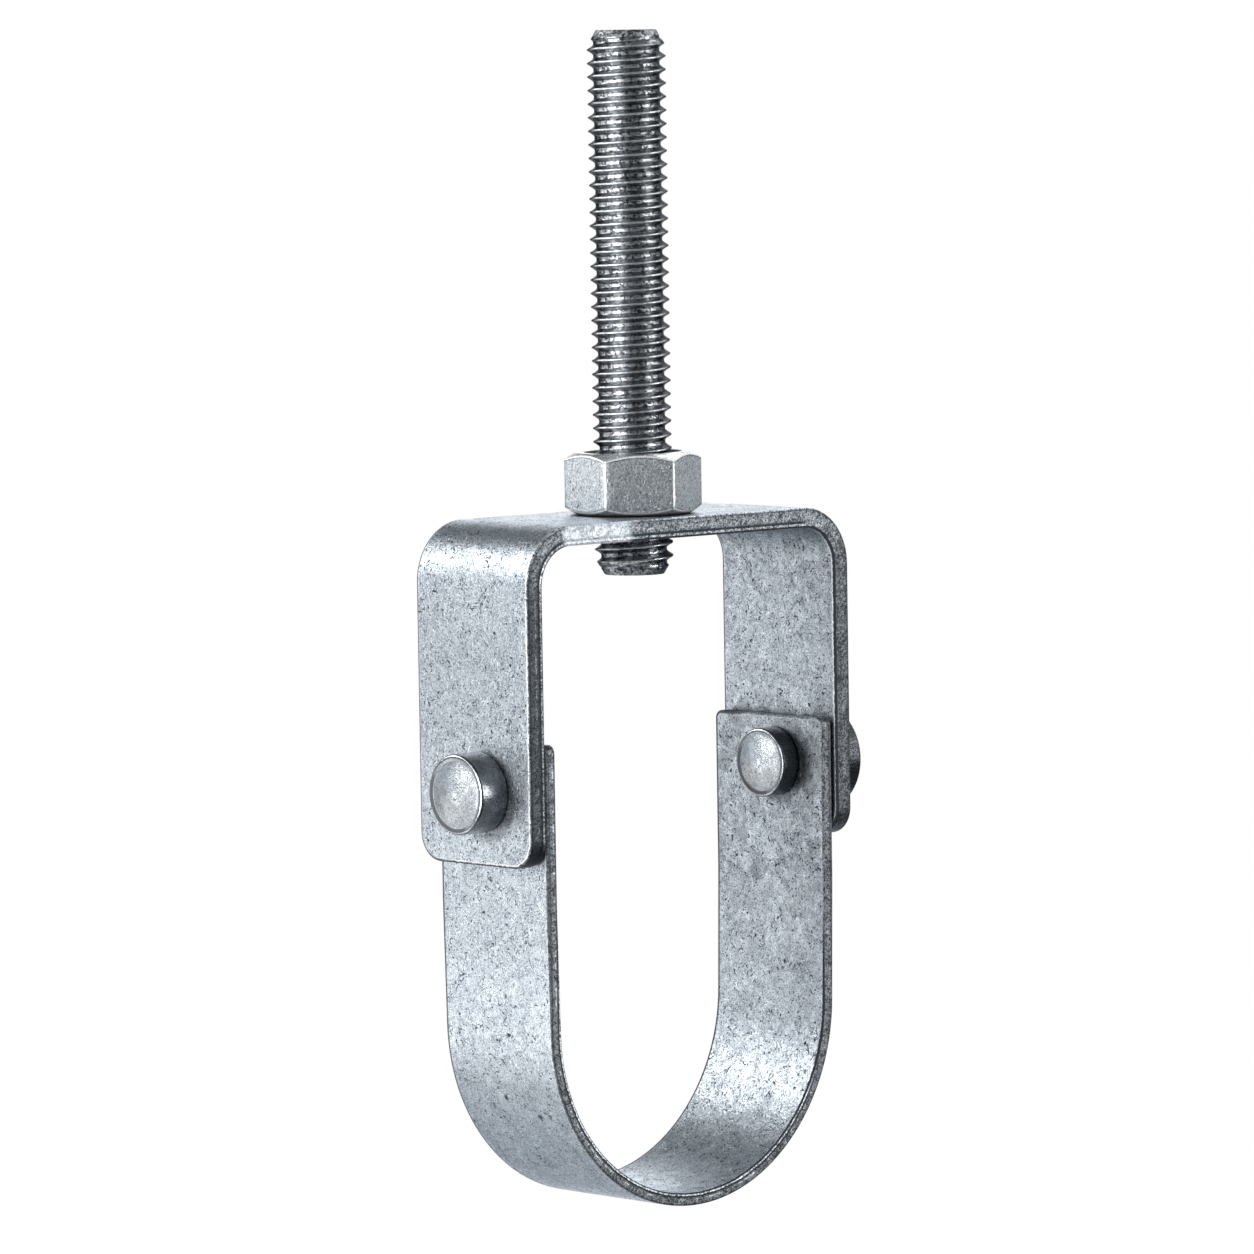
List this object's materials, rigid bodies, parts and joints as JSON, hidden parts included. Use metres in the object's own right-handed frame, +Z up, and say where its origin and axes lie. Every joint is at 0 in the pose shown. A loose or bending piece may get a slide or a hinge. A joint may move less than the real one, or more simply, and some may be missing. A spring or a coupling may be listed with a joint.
{
  "type": "clevis hanger",
  "caption": "Clevis pipe hanger: bent steel yoke on a threaded rod with a lock nut, and a riveted U-shaped strap that cradles a horizontal pipe and swings on its rivets.",
  "frame": {"origin": "centre of the half-round pipe seat in the lower strap, on the axis of the hanger rod", "axes": "+Z up along the rod, +Y along the pipe, +X across the span along the rivet axis"},
  "size_m": [0.0604, 0.0194, 0.1382],
  "materials": {
    "rod_steel": "bright plated thread",
    "nut_zinc": "zinc plated",
    "yoke_zinc": "galvanised, finely mottled",
    "rivet_steel": "zinc plated, smooth",
    "strap_zinc": "galvanised, finely mottled"
  },
  "bodies": {
    "rod": {"hanger_rod": "rod_steel"},
    "nut": {"lock_nut": "nut_zinc"},
    "yoke": {"yoke": "yoke_zinc", "rivet_left": "rivet_steel", "rivet_right": "rivet_steel"},
    "strap": {"lower_strap": "strap_zinc"}
  },
  "joints": [
    {"name": "yoke_swivel", "type": "hinge", "parent": "rod", "child": "yoke", "pos_m": [0, 0, 0.0575], "axis": [0, 0, 1], "continuous": true},
    {"name": "nut_spin", "type": "hinge", "parent": "rod", "child": "nut", "pos_m": [0, 0, 0.0624], "axis": [0, 0, 1], "continuous": true},
    {"name": "strap_swing", "type": "hinge", "parent": "yoke", "child": "strap", "pos_m": [0, -0.0012, 0.0278], "axis": [1, 0, 0], "range_deg": [-140, 135]}
  ]
}
